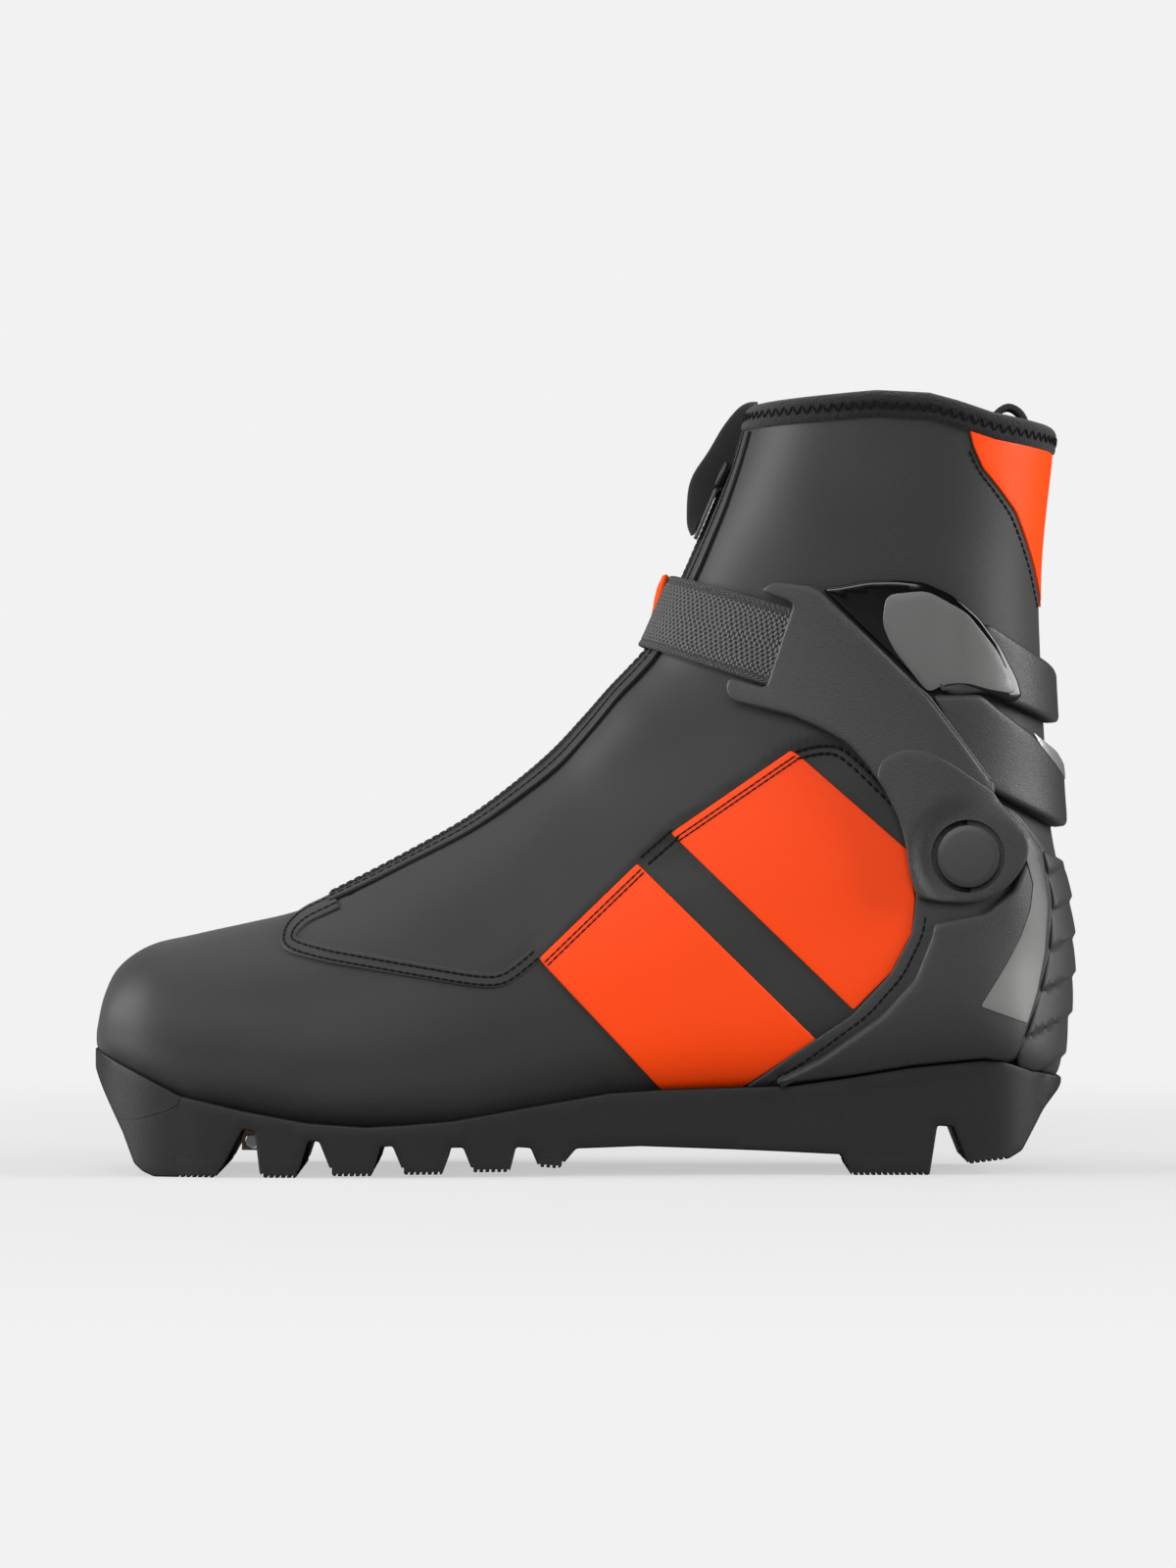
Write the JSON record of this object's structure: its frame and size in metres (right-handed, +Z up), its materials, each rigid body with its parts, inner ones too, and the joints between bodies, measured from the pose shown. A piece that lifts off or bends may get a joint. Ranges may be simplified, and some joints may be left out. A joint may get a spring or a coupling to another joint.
{
  "type": "cross-country ski boot",
  "caption": "Low-cut cross-country ski boot with a flexing lugged sole, soft upper, heel counter, and a plastic ankle cuff that hinges and carries a hook-and-loop strap.",
  "frame": {"origin": "on the ground, below the middle of the boot's overall box", "axes": "+X from toe to heel, +Y towards the outer side of the foot, +Z up"},
  "size_m": [0.3022, 0.0988, 0.2388],
  "materials": {
    "tread_rubber": "moulded black rubber lugs and toe bumper, fine serrated ground faces",
    "sole": "dark charcoal moulded thermoplastic sole, low satin sheen",
    "shank": "stiff composite shank",
    "steel": "ground steel axles, pins and washers",
    "carrier": "brown coated metal carrier of the rear binding axle",
    "softshell": "matt charcoal laminated softshell with a very fine grain",
    "board": "pressed fibre lasting board",
    "lining": "black brushed knit lining over foam",
    "insole": "dark felted footbed",
    "orange_panel": "vivid red-orange coated overlay, smooth and slightly satin",
    "counter_plastic": "charcoal moulded plastic with fine spark-eroded grain",
    "cap_plastic": "dark satin plastic button",
    "wrap_rubber": "ribbed soft rubber heel wrap",
    "stripe": "grey printed stripe with a soft fade",
    "zip_tape": "black coil zip on woven tape",
    "lace": "thin round braided lace",
    "cuff_plastic": "charcoal moulded plastic with fine spark-eroded grain",
    "gloss_window": "piano-black gloss inlay",
    "reflector": "silver reflective strip",
    "binding": "black ribbed knit binding with zigzag stitching",
    "pull_loop": "black narrow webbing",
    "webbing": "grey woven webbing with light flecks",
    "zip_metal": "black coated metal slider",
    "zip_pull": "dark moulded pull tab",
    "zip_flap": "thin black stretch fabric",
    "orange_tip": "red-orange rubberised strap end"
  },
  "bodies": {
    "boot": {"tread_toe": "tread_rubber", "tread_ball_1": "tread_rubber", "tread_ball_2": "tread_rubber", "tread_ball_3": "tread_rubber", "tread_ball_4": "tread_rubber", "tread_ball_5": "tread_rubber", "tread_heel_front": "tread_rubber", "tread_heel_rear": "tread_rubber", "outsole": "sole", "toe_bumper": "tread_rubber", "shank": "shank", "toe_axle": "steel", "ball_axle": "steel", "axle_carrier": "carrier", "vamp_shell": "softshell", "lasting_board": "board", "foot_lining": "lining", "insole": "insole", "quarter_panel_front_inner": "orange_panel", "quarter_panel_rear_inner": "orange_panel", "quarter_panel_front_outer": "orange_panel", "quarter_panel_rear_outer": "orange_panel", "instep_gusset": "softshell", "heel_gusset": "softshell", "heel_counter": "counter_plastic", "heel_wrap": "wrap_rubber", "counter_stripe_inner": "stripe", "counter_stripe_outer": "stripe", "pivot_washer_inner": "steel", "pivot_pin_inner": "steel", "pivot_cap_inner": "cap_plastic", "pivot_washer_outer": "steel", "pivot_pin_outer": "steel", "pivot_cap_outer": "cap_plastic", "zip_tape_lower": "zip_tape", "lace": "lace"},
    "cuff": {"cuff_shell": "cuff_plastic", "gloss_window_inner": "gloss_window", "gloss_window_outer": "gloss_window", "cuff_reflector": "reflector", "shaft_sleeve": "softshell", "shaft_lining": "lining", "collar_binding": "binding", "heel_tab": "orange_panel", "heel_pull_loop": "pull_loop", "tongue": "lining", "instep_strap": "webbing", "zip_tape_upper": "zip_tape"},
    "slider": {"zip_slider": "zip_metal"},
    "pull": {"zip_pull": "zip_pull"},
    "flap": {"zip_flap": "zip_flap"},
    "strap_end": {"strap_tail": "webbing", "strap_tip": "orange_tip"}
  },
  "joints": [
    {"name": "cuff_flex", "type": "hinge", "parent": "boot", "child": "cuff", "pos_m": [0.1152, 0, 0.0972], "axis": [0, -1, 0], "range_deg": [-3, 15], "stiffness_Nm_per_rad": 6, "deforming": ["instep_gusset", "heel_gusset"]},
    {"name": "zip_slide", "type": "slide", "parent": "cuff", "child": "slider", "axis": [-0.3891, 0, -0.9212], "range_m": [-0.006, 0.012]},
    {"name": "pull_swing", "type": "hinge", "parent": "slider", "child": "pull", "pos_m": [0.03952, -0.005, 0.21001], "axis": [0, 1, 0], "range_deg": [0, 100]},
    {"name": "flap_lift", "type": "hinge", "parent": "cuff", "child": "flap", "pos_m": [0.0545, 0.007, 0.2385], "axis": [0, 1, 0], "range_deg": [0, 60]},
    {"name": "strap_peel", "type": "hinge", "parent": "cuff", "child": "strap_end", "pos_m": [0.0563, 0.0352, 0.1614], "axis": [-0.3939, 0, -0.9191], "range_deg": [0, 70]}
  ]
}
